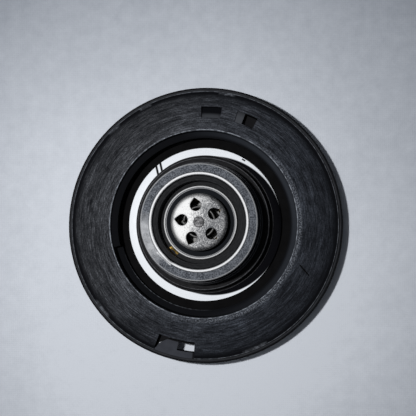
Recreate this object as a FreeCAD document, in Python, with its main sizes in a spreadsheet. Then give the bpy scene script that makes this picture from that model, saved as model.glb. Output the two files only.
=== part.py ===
import FreeCAD, Part
import math
import os
import Sketcher

# Screw cap of a coolant expansion tank, lying on its grip with the inner side up.
# The cap's axis is Z, and Z is 0 at the face of the grip. All lengths are in millimetres.
# A named level is a height above that face, and a named angle is in degrees from +X.

document = FreeCAD.newDocument("expansion_tank_cap")

driving_sizes = {
    # outer moulded cover
    "flange_radius": 42.0,
    "flange_thickness": 2.4,
    "flange_rim_round": 1.0,
    "round_steps": 3,
    "grip_height": 5.2,
    "grip_draft": 0.4,
    "grip_edge_round": 1.2,
    "grip_top_thickness": 1.6,
    "grip_dish_share": 0.7,
    "grip_dish_depth": 0.4,
    "skirt_setback": 0.7,
    "skirt_thickness": 1.6,
    "skirt_channel": 4.8,
    "skirt_foot": 1.2,
    "rib_count": 60,
    "rib_radius": 0.6,
    "rib_start": 1.8,
    "slot_land": 0.85,
    "slot_width": 2.45,
    "slot_arc": 7.8,
    "slot_angle": 97.9,
    "notch_slit_width": 0.6,
    "notch_slit_depth": 1.3,
    "notch_corner_near": 2.9,
    "notch_corner_middle": 0.8,
    "notch_corner_far": 0.4,
    "notch_corner_run": 2.1,
    "notch_corner_tail": 1.7,
    # moulded ring with the annular face and the thread
    "lip_width": 1.45,
    "disc_edge_thickness": 0.8,
    "cone_rise": 2.2,
    "mouth_chamfer": 0.3,
    "recess_depth": 7.5,
    "cavity_share": 0.49,
    "hub_clearance": 0.15,
    "pedestal_height": 1.3,
    "pedestal_roof": 1.35,
    "pedestal_wall": 2.4,
    "thread_depth": 1.85,
    "thread_pitch": 3.4,
    "thread_turns": 1.25,
    "thread_root_width": 1.9,
    "thread_crest_width": 0.8,
    "thread_start_drop": 1.4,
    "thread_start_angle": 195.0,
    "thread_overlap": 0.5,
    "notch_depth": 5.05,
    "notch_arc": 17.8,
    "notch_angle": 102.6,
    "window_start_share": 0.33,
    "window_end_share": 0.61,
    "ramp_window_angle": 86.3,
    "ramp_window_arc": 10.3,
    "ramp_window_shallow": 0.7,
    "ramp_window_deep": 1.4,
    "clip_window_angle": 66.0,
    "clip_window_arc": 6.6,
    "clip_step_arc": 4.0,
    "clip_step_depth": 0.5,
    "clip_pocket_depth": 1.5,
    # seals and washers under the neck of the tank
    "gasket_thickness": 0.9,
    "gasket_gap": 0.25,
    "gasket_width": 3.95,
    "washer_overhang": 0.15,
    "washer_thickness": 0.8,
    "washer_width": 3.45,
    "side_seal_width": 2.53,
    "side_seal_height": 4.8,
    "side_seal_flare": 1.1,
    "side_seal_foot": 1.0,
    "side_seal_edge": 0.5,
    # body of the valve insert
    "swivel_clearance": 0.1,
    "step_radius": 17.47,
    "step_height": 12.0,
    "crown_height": 3.4,
    "seat_lip_width": 1.3,
    "o_ring_section": 0.9,
    "o_ring_groove_depth": 1.25,
    "o_ring_drop": 2.9,
    "round_section_sides": 10,
    # drawn face of the insert
    "face_ledge": 0.62,
    "face_width": 3.45,
    "face_sheet": 0.6,
    "face_skirt": 3.7,
    "face_tube": 3.9,
    "face_tube_gap": 1.0,
    "face_outer_round": 0.45,
    "face_inner_round": 0.5,
    "assembly_gap": 0.05,
    # pressure valve
    "seal_bore_gap": 0.2,
    "seal_thickness": 2.0,
    "seal_web": 0.85,
    "seal_collar_gap": 0.12,
    "seal_collar_width": 1.35,
    "seal_collar_drop": 1.2,
    "plate_setback": 0.7,
    "plate_thickness": 0.8,
    "plate_collar_radius": 8.5,
    "plate_cup_radius": 7.4,
    "plate_cup_bore": 6.6,
    "plate_cup_depth": 3.8,
    "plate_cup_floor": 0.8,
    "plate_hole_radius": 4.0,
    "pressure_wire": 0.9,
    "pressure_coil_gap": 2.9,
    "pressure_coil_turns": 3.0,
    "wire_sides": 6,
    "spring_seat_thickness": 1.4,
    "spring_boss_gap": 0.4,
    "spring_boss_wall": 1.2,
    "spring_boss_height": 1.4,
    "vent_count": 6,
    "vent_radius": 1.4,
    "vent_pitch_radius": 5.8,
    # vacuum valve
    "cage_radius": 8.26,
    "cage_sheet": 0.6,
    "cage_height": 4.4,
    "cage_shoulder": 1.2,
    "brim_width": 2.47,
    "brim_lip_height": 0.9,
    "teardrop_count": 5,
    "teardrop_radius": 1.6,
    "teardrop_pitch_radius": 4.85,
    "teardrop_tip_radius": 7.15,
    "teardrop_angle": 29.4,
    "stem_radius": 1.1,
    "stem_clearance": 0.1,
    "stem_head_radius": 1.55,
    "stem_head_height": 0.5,
    "stem_head_gap": 0.15,
    "stem_foot_radius": 2.4,
    "stem_foot_height": 0.5,
    "vacuum_disc_gap": 0.6,
    "vacuum_disc_thickness": 0.8,
    "vacuum_seal_setback": 0.3,
    "vacuum_seal_width": 2.2,
    "vacuum_seal_thickness": 0.7,
    "vacuum_wire": 0.36,
    "vacuum_coil_gap": 3.0,
    "vacuum_coil_turns": 3.5,
    "vacuum_coil_cone": 3.0,
}

sheet = document.addObject("Spreadsheet::Sheet", "sizes")
for row, (alias, number) in enumerate(driving_sizes.items(), 1):
    sheet.set(f"A{row}", alias)
    sheet.set(f"B{row}", str(number))
    sheet.setAlias(f"B{row}", alias)
document.recompute()


class Size:
    """A length or angle that holds its value and the sheet expression that gives it."""

    def __init__(self, value, text):
        self.value = value
        self.text = text

    def __add__(self, other):
        other = as_size(other)
        return Size(self.value + other.value, f"({self.text} + {other.text})")

    def __sub__(self, other):
        other = as_size(other)
        return Size(self.value - other.value, f"({self.text} - {other.text})")

    def __mul__(self, factor):
        factor = as_size(factor)
        return Size(self.value * factor.value, f"({self.text} * {factor.text})")

    def __truediv__(self, divisor):
        divisor = as_size(divisor)
        return Size(self.value / divisor.value, f"({self.text} / {divisor.text})")


def as_size(thing):
    if isinstance(thing, Size):
        return thing
    return Size(float(thing), str(float(thing)))


def cell(alias):
    return Size(float(sheet.get(alias)), "sizes." + alias)


def origin_feature(body, role):
    for feature in body.Origin.OriginFeatures:
        if feature.Role == role:
            return feature


def new_body(label):
    body = document.addObject("PartDesign::Body", label)
    body.Label = label
    body.Placement = FreeCAD.Placement()
    return body


def bind(thing, path, size):
    thing.setExpression(path, as_size(size).text)


def radial_sketch(body, name, angle=None, clockwise=False):
    """Sketch in the half plane through the axis, whose x is the radius and y the level."""
    sketch = body.newObject("Sketcher::SketchObject", name)
    sketch.AttachmentSupport = [(origin_feature(body, "XZ_Plane"), "")]
    sketch.MapMode = "FlatFace"
    if angle is not None:
        turn = FreeCAD.Vector(0, -1 if clockwise else 1, 0)
        spin = FreeCAD.Rotation(turn, angle.value)
        sketch.AttachmentOffset = FreeCAD.Placement(FreeCAD.Vector(), spin)
        bind(sketch, "AttachmentOffset.Rotation.Angle", angle)
    return sketch


def flat_sketch(body, name, level, angle=None):
    """Sketch on a level plane, turned about the axis by the angle."""
    sketch = body.newObject("Sketcher::SketchObject", name)
    sketch.AttachmentSupport = [(origin_feature(body, "XY_Plane"), "")]
    sketch.MapMode = "FlatFace"
    spin = FreeCAD.Rotation(FreeCAD.Vector(0, 0, 1), angle.value if angle else 0)
    lift = FreeCAD.Vector(0, 0, level.value)
    sketch.AttachmentOffset = FreeCAD.Placement(lift, spin)
    bind(sketch, "AttachmentOffset.Base.z", level)
    if angle is not None:
        bind(sketch, "AttachmentOffset.Rotation.Angle", angle)
    return sketch


def tie_point(sketch, geometry, end, x, y):
    """Ties one end of a sketch line to its two distances from the sketch's origin."""
    for kind, size, axis in (("DistanceX", x, -2), ("DistanceY", y, -1)):
        if size.value == 0:
            sketch.addConstraint(Sketcher.Constraint("PointOnObject", geometry, end, axis))
            continue
        rule = Sketcher.Constraint(kind, -1, 1, geometry, end, size.value)
        bind(sketch, f"Constraints[{sketch.addConstraint(rule)}]", size)


def outline(sketch, corners):
    """Closed outline of straight sides through the corners."""
    corners = [(as_size(x), as_size(y)) for x, y in corners]
    spots = [FreeCAD.Vector(x.value, y.value, 0) for x, y in corners]
    for index, spot in enumerate(spots):
        after = spots[(index + 1) % len(spots)]
        sketch.addGeometry(Part.LineSegment(spot, after))
    for index in range(len(spots)):
        after = (index + 1) % len(spots)
        sketch.addConstraint(Sketcher.Constraint("Coincident", index, 2, after, 1))
    for index, (x, y) in enumerate(corners):
        tie_point(sketch, index, 1, x, y)


def arc(x, y, radius, first, last):
    """Corners along a round of the radius about a middle, between two angles in degrees."""
    x, y = as_size(x), as_size(y)
    steps = driving_sizes["round_steps"]
    turns = [math.radians(first + (last - first) * step / steps) for step in range(steps + 1)]
    return [(x + radius * math.cos(turn), y + radius * math.sin(turn)) for turn in turns]


def round_section(x, y, radius, sides):
    """Corners of a round section, as a polygon of the same height across its flats."""
    reach = radius / math.cos(math.pi / sides)
    turns = [2 * math.pi * side / sides for side in range(sides)]
    return [(x + reach * math.cos(turn), y + reach * math.sin(turn)) for turn in turns]


def circle(sketch, x, y, radius):
    x, y = as_size(x), as_size(y)
    middle = FreeCAD.Vector(x.value, y.value, 0)
    sketch.addGeometry(Part.Circle(middle, FreeCAD.Vector(0, 0, 1), radius.value))
    rule = Sketcher.Constraint("Radius", 0, radius.value)
    bind(sketch, f"Constraints[{sketch.addConstraint(rule)}]", radius)
    tie_point(sketch, 0, 3, x, y)


def turned(body, name, corners):
    """Ring or disc made by turning the outline about the cap's axis."""
    sketch = radial_sketch(body, name + "_outline")
    outline(sketch, corners)
    solid = body.newObject("PartDesign::Revolution", name)
    solid.Profile = sketch
    solid.ReferenceAxis = (sketch, ["V_Axis"])
    solid.Angle = 360
    document.recompute()
    return solid


def must_change(body, name, before):
    """Stops the build where a feature left the body's volume as it was."""
    if abs(body.Shape.Volume - before) < 1e-6:
        raise RuntimeError(f"{body.Label}: {name} changed nothing")


def arc_cut(body, name, corners, angle, sweep, clockwise=False):
    """Cuts the outline out of the body over an arc centred on the angle."""
    before = body.Shape.Volume
    sketch = radial_sketch(body, name + "_outline", angle, clockwise)
    outline(sketch, corners)
    cut = body.newObject("PartDesign::Groove", name)
    cut.Profile = sketch
    cut.ReferenceAxis = (sketch, ["V_Axis"])
    cut.Midplane = True
    bind(cut, "Angle", sweep)
    document.recompute()
    must_change(body, name, before)


def pattern(body, name, feature, count):
    """Repeats one feature round the cap's axis."""
    copies = body.newObject("PartDesign::PolarPattern", name)
    copies.Originals = [feature]
    copies.Axis = (origin_feature(body, "Z_Axis"), [""])
    copies.Angle = 360
    bind(copies, "Occurrences", count)
    body.Tip = copies
    document.recompute()


def coil(body, name, wire, radius, low, high, turns, cone=None):
    """Wire wound from the low level to the high one, widening by the cone angle."""
    sketch = radial_sketch(body, name + "_wire")
    outline(sketch, round_section(radius, low + wire, wire, driving_sizes["wire_sides"]))
    winding = body.newObject("PartDesign::AdditiveHelix", name)
    winding.Profile = sketch
    winding.ReferenceAxis = (sketch, ["V_Axis"])
    winding.Mode = "height-turns-angle"
    winding.Angle = 0
    bind(winding, "Height", high - low - wire * 2)
    bind(winding, "Turns", turns)
    if cone is not None:
        bind(winding, "Angle", cone)
    document.recompute()


# Levels that several pieces share

lip_level = cell("grip_height") + cell("flange_thickness")
disc_edge_level = lip_level + cell("disc_edge_thickness")
mouth_level = disc_edge_level + cell("cone_rise")
floor_level = mouth_level - cell("recess_depth")
floor_under = cell("grip_top_thickness") + cell("assembly_gap")
pedestal_top = floor_level + cell("pedestal_height")
pedestal_under = pedestal_top - cell("pedestal_roof")
insert_under = cell("grip_top_thickness") + cell("swivel_clearance")
insert_flange_top = pedestal_under - cell("swivel_clearance")
washer_top = pedestal_top + cell("washer_thickness")
step_level = washer_top + cell("step_height")
crown_level = step_level + cell("crown_height")
face_level = crown_level + cell("face_sheet")
seal_top = face_level - cell("face_tube") - cell("assembly_gap")
seal_under = seal_top - cell("seal_thickness")
seal_web_top = seal_under + cell("seal_web")
plate_under = seal_under - cell("plate_thickness")
cup_under = plate_under - cell("plate_cup_depth")
cup_floor = cup_under + cell("plate_cup_floor")
cage_top = seal_web_top + cell("cage_height")
cage_under = cage_top - cell("cage_sheet")
vacuum_seal_under = cup_floor + cell("assembly_gap")
vacuum_disc_under = vacuum_seal_under + cell("vacuum_seal_thickness")
vacuum_disc_top = vacuum_disc_under + cell("vacuum_disc_thickness")
seat_under = insert_flange_top
seat_top = seat_under + cell("spring_seat_thickness")

# Radii that several pieces share

step_radius = cell("step_radius")
side_seal_radius = step_radius + cell("side_seal_width")
washer_radius = side_seal_radius + cell("washer_width")
pedestal_radius = washer_radius - cell("washer_overhang")
pocket_radius = pedestal_radius - cell("pedestal_wall")
insert_flange_radius = pocket_radius - cell("swivel_clearance") * 3
gasket_radius = washer_radius + cell("gasket_gap") + cell("gasket_width")
mouth_radius = gasket_radius + cell("gasket_gap")
disc_radius = cell("flange_radius") - cell("lip_width")
face_run = disc_radius - mouth_radius
window_near = mouth_radius + face_run * cell("window_start_share")
window_far = mouth_radius + face_run * cell("window_end_share")
skirt_radius = cell("flange_radius") - cell("skirt_setback")
skirt_inner = skirt_radius - cell("skirt_thickness")
grip_foot_radius = skirt_inner - cell("skirt_channel")
cavity_radius = mouth_radius + (grip_foot_radius - mouth_radius) * cell("cavity_share")
notch_near = disc_radius - cell("notch_depth")
face_radius = step_radius - cell("face_ledge")
face_inner_radius = face_radius - cell("face_width")
bore_radius = face_inner_radius + cell("face_sheet") + cell("face_tube_gap")
seal_radius = bore_radius - cell("seal_bore_gap")
coil_radius = bore_radius - cell("pressure_coil_gap") - cell("pressure_wire")
vacuum_disc_radius = cell("plate_cup_bore") - cell("vacuum_disc_gap")


def cover_grip():
    """Outer cover: low boss, flange with the tether slot, and the ribbed skirt of the rim."""
    body = new_body("cover_grip")
    foot = cell("grip_height")
    flange = cell("flange_radius")
    dish = cell("grip_dish_depth")
    grip_radius = grip_foot_radius - cell("grip_draft")
    dish_radius = grip_radius * cell("grip_dish_share")
    edge = cell("grip_edge_round")
    rim = cell("flange_rim_round")
    turned(body, "shell", [
        (0, dish),
        (dish_radius, dish),
        (dish_radius + dish, 0),
        *arc(grip_radius - edge, edge, edge, -90, 0),
        (grip_foot_radius, foot),
        (skirt_inner, foot),
        (skirt_inner, cell("skirt_foot")),
        (skirt_radius - rim / 2, cell("skirt_foot")),
        (skirt_radius, cell("skirt_foot") + rim / 2),
        (skirt_radius, foot - rim / 2),
        (flange, foot),
        *arc(flange - rim, lip_level - rim, rim, 0, 90),
        (cavity_radius, lip_level),
        (cavity_radius, cell("grip_top_thickness")),
        (0, cell("grip_top_thickness")),
    ])
    ribs(body)
    slot_far = skirt_inner - cell("slot_land")
    slot_near = slot_far - cell("slot_width")
    arc_cut(body, "tether_slot", [
        (slot_near, foot - 1),
        (slot_far, foot - 1),
        (slot_far, lip_level + 1),
        (slot_near, lip_level + 1),
    ], cell("slot_angle"), cell("slot_arc"), clockwise=True)
    notch_slit(body)
    arc_cut(body, "clip_pocket", [
        (window_near, lip_level - cell("clip_pocket_depth")),
        (window_far, lip_level - cell("clip_pocket_depth")),
        (window_far, lip_level + 1),
        (window_near, lip_level + 1),
    ], cell("clip_window_angle"), cell("clip_window_arc"))
    return body


def notch_slit(body):
    """Slit in the flange along the notch's inner side, widening across its left corner."""
    near = notch_near
    far = near + cell("notch_slit_width")
    depth = cell("notch_slit_depth")
    arc_cut(body, "notch_slit", [
        (near, lip_level - depth),
        (far, lip_level - depth),
        (far, lip_level + 1),
        (near, lip_level + 1),
    ], cell("notch_angle"), cell("notch_arc"), clockwise=True)
    before = body.Shape.Volume
    left_side = as_size(360) - cell("notch_angle") - cell("notch_arc") / 2
    sketch = flat_sketch(body, "notch_corner_outline", lip_level + 1, left_side)
    middle = far + cell("notch_corner_run")
    outline(sketch, [
        (near, 0),
        (middle + cell("notch_corner_tail"), 0),
        (middle + cell("notch_corner_tail"), cell("notch_corner_far")),
        (middle, cell("notch_corner_middle")),
        (far, cell("notch_corner_near")),
        (near, cell("notch_corner_near")),
    ])
    corner = body.newObject("PartDesign::Pocket", "notch_corner")
    corner.Profile = sketch
    bind(corner, "Length", depth + 1)
    document.recompute()
    must_change(body, "notch_corner", before)


def ribs(body):
    """Round grip ribs standing on the skirt, from near its foot to the band of the rim."""
    before = body.Shape.Volume
    sketch = flat_sketch(body, "rib_outline", cell("rib_start"))
    outline(sketch, arc(skirt_radius - cell("assembly_gap"), 0, cell("rib_radius"), -90, 90))
    rib = body.newObject("PartDesign::Pad", "rib")
    rib.Profile = sketch
    bind(rib, "Length", cell("grip_height") - cell("rib_start") + cell("flange_rim_round") / 2)
    document.recompute()
    must_change(body, "rib", before)
    pattern(body, "rib_ring", rib, cell("rib_count"))


def thread_ring():
    """Ring set in the cover: annular face, recess with the female thread, and pedestal."""
    body = new_body("thread_ring")
    hub_radius = cavity_radius - cell("hub_clearance")
    chamfer = cell("mouth_chamfer")
    hole = step_radius + cell("swivel_clearance")
    turned(body, "ring", [
        (hole, pedestal_under),
        (pocket_radius, pedestal_under),
        (pocket_radius, floor_under),
        (hub_radius, floor_under),
        (hub_radius, lip_level),
        (disc_radius, lip_level),
        (disc_radius, disc_edge_level),
        (mouth_radius + chamfer, mouth_level),
        (mouth_radius, mouth_level - chamfer),
        (mouth_radius, floor_level),
        (pedestal_radius, floor_level),
        (pedestal_radius, pedestal_top),
        (hole, pedestal_top),
    ])
    thread(body)
    notch_far = cell("flange_radius")
    above = mouth_level + 1
    arc_cut(body, "edge_notch", [
        (notch_near, lip_level - 1),
        (notch_far, lip_level - 1),
        (notch_far, above),
        (notch_near, above),
    ], cell("notch_angle"), cell("notch_arc"), clockwise=True)
    arc_cut(body, "ramp_window", [
        (window_near, cone_level(window_near) - cell("ramp_window_shallow")),
        (window_far, cone_level(window_far) - cell("ramp_window_deep")),
        (window_far, above),
        (window_near, above),
    ], cell("ramp_window_angle"), cell("ramp_window_arc"))
    arc_cut(body, "clip_window", [
        (window_near, lip_level - 1),
        (window_far, lip_level - 1),
        (window_far, above),
        (window_near, above),
    ], cell("clip_window_angle"), cell("clip_window_arc"))
    step_angle = cell("clip_window_angle") + (cell("clip_window_arc") + cell("clip_step_arc")) / 2
    arc_cut(body, "clip_step", [
        (window_near, cone_level(window_near) - cell("clip_step_depth")),
        (window_far, cone_level(window_far) - cell("clip_step_depth")),
        (window_far, above),
        (window_near, above),
    ], step_angle, cell("clip_step_arc"))
    return body


def cone_level(radius):
    """Level of the sloping annular face at a radius."""
    slope = cell("cone_rise") / (face_run - cell("mouth_chamfer"))
    return disc_edge_level + slope * (disc_radius - radius)


def thread(body):
    """Coarse right-hand thread that starts near the mouth and winds down into the recess."""
    before = body.Shape.Volume
    sketch = radial_sketch(body, "thread_section", cell("thread_start_angle"))
    middle = mouth_level - cell("thread_start_drop")
    root = mouth_radius + cell("thread_overlap")
    crest = mouth_radius - cell("thread_depth")
    half_root = cell("thread_root_width") / 2
    half_crest = cell("thread_crest_width") / 2
    outline(sketch, [
        (root, middle - half_root),
        (root, middle + half_root),
        (crest, middle + half_crest),
        (crest, middle - half_crest),
    ])
    ridge = body.newObject("PartDesign::AdditiveHelix", "thread_ridge")
    ridge.Profile = sketch
    ridge.ReferenceAxis = (sketch, ["V_Axis"])
    ridge.Mode = "pitch-turns-angle"
    ridge.Reversed = True
    bind(ridge, "Pitch", cell("thread_pitch"))
    bind(ridge, "Turns", cell("thread_turns"))
    document.recompute()
    must_change(body, "thread_ridge", before)


def plain_ring(label, inner, outer, low, high):
    """Flat ring of square section."""
    body = new_body(label)
    turned(body, "ring", [(inner, low), (outer, low), (outer, high), (inner, high)])
    return body


def neck_gasket():
    """Flat rubber ring on the floor of the recess, for the rim of the tank's neck."""
    inner = gasket_radius - cell("gasket_width")
    top = floor_level + cell("gasket_thickness")
    return plain_ring("neck_gasket", inner, gasket_radius, floor_level, top)


def thrust_washer():
    """Bright steel washer on the pedestal, round the foot of the insert."""
    inner = step_radius + cell("assembly_gap")
    return plain_ring("thrust_washer", inner, washer_radius, pedestal_top, washer_top)


def side_seal():
    """Rubber ring round the foot of the insert, with a flared foot on the washer."""
    body = new_body("side_seal")
    inner = step_radius + cell("assembly_gap")
    flare = side_seal_radius + cell("side_seal_flare")
    foot = washer_top + cell("side_seal_foot")
    top = washer_top + cell("side_seal_height")
    edge = cell("side_seal_edge")
    turned(body, "ring", [
        (inner, washer_top),
        (flare, washer_top),
        (flare, foot),
        (side_seal_radius + edge / 2, foot + edge),
        (side_seal_radius, foot + edge * 2),
        (side_seal_radius, top - edge),
        (side_seal_radius - edge, top),
        (inner, top),
    ])
    return body


def valve_body():
    """Stepped moulded body of the insert, held under the pedestal by the flange at its foot."""
    body = new_body("valve_body")
    lip = bore_radius - cell("seat_lip_width")
    crown_radius = face_radius - cell("face_sheet") - cell("assembly_gap")
    ring_floor = step_radius - cell("o_ring_groove_depth")
    ring_level = step_level - cell("o_ring_drop")
    ring_half = cell("o_ring_section") + cell("assembly_gap") * 4
    turned(body, "stepped_tube", [
        (lip, insert_under),
        (insert_flange_radius, insert_under),
        (insert_flange_radius, insert_flange_top),
        (step_radius, insert_flange_top),
        (step_radius, ring_level - ring_half),
        (ring_floor, ring_level - ring_half),
        (ring_floor, ring_level + ring_half),
        (step_radius, ring_level + ring_half),
        (step_radius, step_level),
        (crown_radius, step_level),
        (crown_radius, crown_level),
        (bore_radius, crown_level),
        (bore_radius, seat_under),
        (lip, seat_under),
    ])
    return body


def o_ring():
    """Round rubber ring in the groove of the insert's upper step."""
    body = new_body("o_ring")
    section = cell("o_ring_section")
    middle = step_radius - cell("o_ring_groove_depth") + section + cell("assembly_gap")
    level = step_level - cell("o_ring_drop")
    turned(body, "ring", round_section(middle, level, section, driving_sizes["round_section_sides"]))
    return body


def face_plate():
    """Drawn steel face: outer skirt over the body, and an inner tube that is the valve seat."""
    body = new_body("face_plate")
    outer = face_radius
    inner = face_inner_radius
    sheet_metal = cell("face_sheet")
    skirt_end = face_level - cell("face_skirt")
    tube_end = face_level - cell("face_tube")
    outer_round = cell("face_outer_round")
    inner_round = cell("face_inner_round")
    turned(body, "drawn_ring", [
        (outer, skirt_end),
        *arc(outer - outer_round, face_level - outer_round, outer_round, 0, 90),
        *arc(inner + inner_round, face_level - inner_round, inner_round, 90, 180),
        (inner, tube_end),
        (inner + sheet_metal, tube_end),
        (inner + sheet_metal, crown_level),
        (outer - sheet_metal, crown_level),
        (outer - sheet_metal, skirt_end),
    ])
    return body


def pressure_plate():
    """Brass plate of the pressure valve: collar for the seal above, cup for the vacuum valve."""
    body = new_body("pressure_plate")
    hole = cell("plate_hole_radius")
    plate_radius = seal_radius - cell("plate_setback")
    turned(body, "cup", [
        (hole, cup_under),
        (cell("plate_cup_radius"), cup_under),
        (cell("plate_cup_radius"), plate_under),
        (plate_radius, plate_under),
        (plate_radius, seal_under),
        (cell("plate_collar_radius"), seal_under),
        (cell("plate_collar_radius"), seal_web_top),
        (cell("plate_cup_bore"), seal_web_top),
        (cell("plate_cup_bore"), cup_floor),
        (hole, cup_floor),
    ])
    return body


def pressure_seal():
    """Rubber ring of the pressure valve: thin web under the brim, and a collar inside the face."""
    body = new_body("pressure_seal")
    inner = cell("plate_collar_radius") + cell("assembly_gap")
    collar_outer = face_inner_radius - cell("seal_collar_gap")
    collar_inner = collar_outer - cell("seal_collar_width")
    collar_top = face_level - cell("seal_collar_drop")
    turned(body, "ring", [
        (inner, seal_under),
        (seal_radius, seal_under),
        (seal_radius, seal_top),
        (collar_outer, seal_top),
        (collar_outer, collar_top),
        (collar_inner, collar_top),
        (collar_inner, seal_web_top),
        (inner, seal_web_top),
    ])
    return body


def vacuum_cage():
    """Drawn hat over the vacuum valve: soft shoulder, raised brim, five teardrop holes."""
    body = new_body("vacuum_cage")
    wall = cell("cage_radius")
    metal = cell("cage_sheet")
    brim = wall + cell("brim_width")
    hole = cell("stem_radius") + cell("stem_clearance")
    shoulder = cell("cage_shoulder")
    inside = shoulder - metal
    turned(body, "hat", [
        (hole, cage_under),
        *arc(wall - shoulder, cage_top - shoulder, inside, 90, 0),
        (wall - metal, seal_web_top),
        (brim, seal_web_top),
        (brim, seal_web_top + cell("brim_lip_height")),
        (brim - metal, seal_web_top + cell("brim_lip_height")),
        (brim - metal, seal_web_top + metal),
        (wall, seal_web_top + metal),
        *arc(wall - shoulder, cage_top - shoulder, shoulder, 0, 90),
        (hole, cage_top),
    ])
    before = body.Shape.Volume
    sketch = flat_sketch(body, "teardrop_outline", cage_top + 1, cell("teardrop_angle"))
    teardrop(sketch)
    hole_cut = body.newObject("PartDesign::Pocket", "teardrop_hole")
    hole_cut.Profile = sketch
    bind(hole_cut, "Length", metal * 2 + 1)
    document.recompute()
    must_change(body, "teardrop_hole", before)
    pattern(body, "teardrop_ring", hole_cut, cell("teardrop_count"))
    return body


def teardrop(sketch):
    """Round hole drawn out to a point that faces away from the axis."""
    middle = cell("teardrop_pitch_radius")
    radius = cell("teardrop_radius")
    tip = cell("teardrop_tip_radius")
    lean = math.acos(radius.value / (tip.value - middle.value))
    centre = FreeCAD.Vector(middle.value, 0, 0)
    rim = Part.Circle(centre, FreeCAD.Vector(0, 0, 1), radius.value)
    sketch.addGeometry(Part.ArcOfCircle(rim, lean, 2 * math.pi - lean))
    upper = centre + FreeCAD.Vector(math.cos(lean), math.sin(lean), 0) * radius.value
    lower = centre + FreeCAD.Vector(math.cos(lean), -math.sin(lean), 0) * radius.value
    point = FreeCAD.Vector(tip.value, 0, 0)
    sketch.addGeometry(Part.LineSegment(point, upper))
    sketch.addGeometry(Part.LineSegment(lower, point))
    sketch.addConstraint(Sketcher.Constraint("Tangent", 1, 2, 0, 1))
    sketch.addConstraint(Sketcher.Constraint("Tangent", 0, 2, 2, 1))
    sketch.addConstraint(Sketcher.Constraint("Coincident", 2, 2, 1, 1))
    rule = Sketcher.Constraint("Radius", 0, radius.value)
    bind(sketch, f"Constraints[{sketch.addConstraint(rule)}]", radius)
    tie_point(sketch, 0, 3, middle, as_size(0))
    tie_point(sketch, 1, 1, tip, as_size(0))


def vacuum_disc():
    """Steel disc of the vacuum valve."""
    hole = cell("stem_radius") + cell("assembly_gap")
    return plain_ring("vacuum_disc", hole, vacuum_disc_radius, vacuum_disc_under, vacuum_disc_top)


def stem_rivet():
    """Stem through the vacuum disc, with a flat foot and a head riveted over above the cage."""
    body = new_body("stem_rivet")
    stem = cell("stem_radius")
    foot = cell("stem_foot_radius")
    head = cell("stem_head_radius")
    head_under = cage_top + cell("stem_head_gap")
    head_top = head_under + cell("stem_head_height")
    turned(body, "stem", [
        (0, vacuum_disc_under - cell("stem_foot_height")),
        (foot, vacuum_disc_under - cell("stem_foot_height")),
        (foot, vacuum_disc_under),
        (stem, vacuum_disc_under),
        (stem, head_under),
        (head, head_under),
        (head, head_under + cell("stem_head_height") / 2),
        (head / 2, head_top),
        (0, head_top),
    ])
    return body


def vacuum_seal():
    """Rubber ring under the disc of the vacuum valve."""
    outer = vacuum_disc_radius - cell("vacuum_seal_setback")
    inner = outer - cell("vacuum_seal_width")
    return plain_ring("vacuum_seal", inner, outer, vacuum_seal_under, vacuum_disc_under)


def vacuum_spring():
    """Light cone-shaped spring between the vacuum disc and the cage."""
    body = new_body("vacuum_spring")
    gap = cell("assembly_gap")
    start_radius = cell("stem_radius") + cell("vacuum_coil_gap")
    coil(body, "coil", cell("vacuum_wire"), start_radius, vacuum_disc_top + gap,
         cage_under - gap, cell("vacuum_coil_turns"), cell("vacuum_coil_cone"))
    return body


def pressure_spring():
    """Strong spring between the spring seat and the pressure plate."""
    body = new_body("pressure_spring")
    gap = cell("assembly_gap")
    coil(body, "coil", cell("pressure_wire"), coil_radius, seat_top + gap,
         plate_under - gap, cell("pressure_coil_turns"))
    return body


def spring_seat():
    """Vented disc in the tail of the insert, with a ring that centres the spring."""
    body = new_body("spring_seat")
    outer = bore_radius - cell("assembly_gap")
    boss = coil_radius - cell("pressure_wire") - cell("spring_boss_gap")
    boss_bore = boss - cell("spring_boss_wall")
    boss_top = seat_top + cell("spring_boss_height")
    turned(body, "disc", [
        (0, seat_under),
        (outer, seat_under),
        (outer, seat_top),
        (boss, seat_top),
        (boss, boss_top),
        (boss_bore, boss_top),
        (boss_bore, seat_top),
        (0, seat_top),
    ])
    before = body.Shape.Volume
    sketch = flat_sketch(body, "vent_outline", seat_top + 1)
    circle(sketch, cell("vent_pitch_radius"), 0, cell("vent_radius"))
    vent = body.newObject("PartDesign::Pocket", "vent")
    vent.Profile = sketch
    bind(vent, "Length", cell("spring_seat_thickness") + 2)
    document.recompute()
    must_change(body, "vent", before)
    pattern(body, "vent_ring", vent, cell("vent_count"))
    return body


pieces = [
    cover_grip(),
    thread_ring(),
    neck_gasket(),
    thrust_washer(),
    side_seal(),
    valve_body(),
    o_ring(),
    face_plate(),
    pressure_plate(),
    pressure_seal(),
    vacuum_cage(),
    vacuum_disc(),
    stem_rivet(),
    vacuum_seal(),
    vacuum_spring(),
    pressure_spring(),
    spring_seat(),
]
document.recompute()

for item in document.Objects:
    if "Invalid" in item.State or "Error" in item.State:
        raise RuntimeError(f"{item.Label} failed: {item.State}")
for piece in pieces:
    if piece.Shape.isNull() or not piece.Shape.isValid():
        raise RuntimeError(f"{piece.Label} has no valid shape")
    if len(piece.Shape.Solids) != 1:
        raise RuntimeError(f"{piece.Label} is not one solid")

os.makedirs("parts", exist_ok=True)
for piece in pieces:
    piece.Shape.exportStep(os.path.join("parts", piece.Label + ".step"))
    box = piece.Shape.BoundBox
    print(f"{piece.Label}: {piece.Shape.Volume:.1f} mm3, z {box.ZMin:.2f} to {box.ZMax:.2f}")
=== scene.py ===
import math
import bmesh
import bpy
import numpy as np
from mathutils import Matrix


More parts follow.
